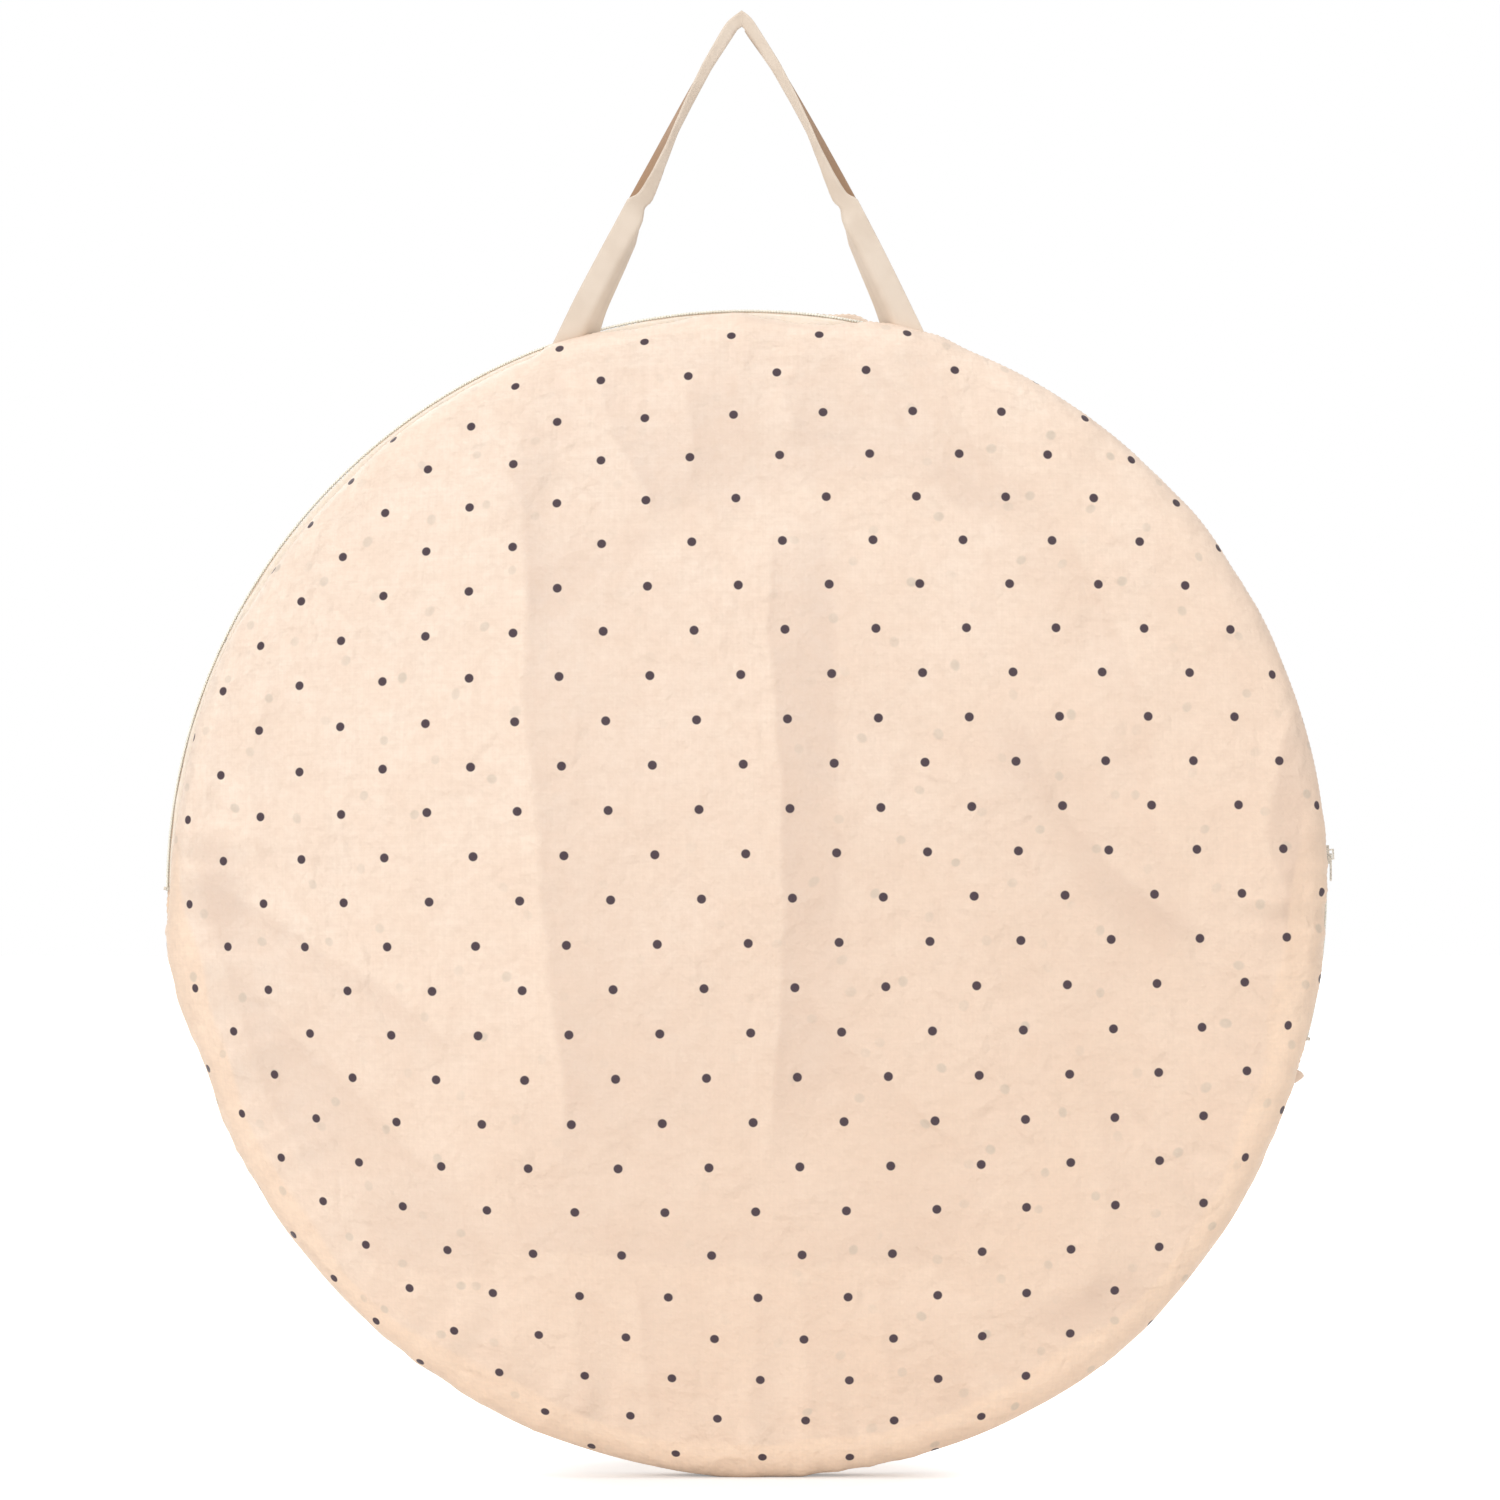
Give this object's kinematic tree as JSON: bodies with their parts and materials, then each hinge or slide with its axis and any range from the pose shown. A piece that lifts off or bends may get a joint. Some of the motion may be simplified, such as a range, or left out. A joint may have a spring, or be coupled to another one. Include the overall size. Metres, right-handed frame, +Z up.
{
  "type": "folded pop-up tent in a carry bag",
  "caption": "Twist-folded pop-up play tent in a round, thin, dotted cloth carry bag with a zip round its upper rim and a webbing handle.",
  "frame": {"origin": "hang point, under the top of the handle where a hook carries it", "axes": "+Z up, the longest extent; +Y to the back of the bag, its thickness; +X to the right seen from the front"},
  "size_m": [0.5644, 0.0332, 0.7046],
  "materials": {
    "bag_cloth": "satin",
    "tent_cloth": "satin",
    "webbing": "matte",
    "zip_tape": "matte",
    "zip_coil": "satin",
    "zip_metal": "satin",
    "spring_steel": "satin",
    "ferrule_steel": "satin",
    "label": "satin"
  },
  "bodies": {
    "handle": {"handle_strap": "webbing"},
    "bag": {"strap_anchor_left": "webbing", "strap_anchor_right": "webbing", "bag_front_panel": "bag_cloth", "bag_back_panel": "bag_cloth", "seam_binding": "bag_cloth", "care_label": "label", "zip_tape_front": "zip_tape", "zip_tape_back": "zip_tape", "zip_coil_front": "zip_coil", "zip_coil_back": "zip_coil", "zip_stop_right": "zip_metal", "zip_stop_left": "zip_metal", "zip_end_tab_right": "bag_cloth", "zip_end_tab_left": "bag_cloth", "tent_left_wall": "tent_cloth", "left_wall_hoop": "spring_steel", "left_wall_ferrule": "ferrule_steel", "tent_right_wall": "tent_cloth", "right_wall_hoop": "spring_steel", "right_wall_ferrule": "ferrule_steel", "tent_floor": "tent_cloth", "floor_hoop": "spring_steel", "floor_ferrule": "ferrule_steel"},
    "zip_slider": {"zip_slider": "zip_metal"},
    "zip_pull": {"zip_pull": "zip_metal"}
  },
  "joints": [
    {"name": "handle_fold", "type": "hinge", "parent": "handle", "child": "bag", "pos_m": [0, 0, -0.1356], "axis": [1, 0, 0], "range_deg": [-120, 130]},
    {"name": "zip_travel", "type": "hinge", "parent": "bag", "child": "zip_slider", "pos_m": [0.00265, 0, -0.4216], "axis": [0, -1, 0], "range_deg": [-17, 175]},
    {"name": "pull_swing", "type": "hinge", "parent": "zip_slider", "child": "zip_pull", "pos_m": [0.28432, 0.0051, -0.40437], "axis": [0, -1, 0], "range_deg": [0, 175]}
  ]
}
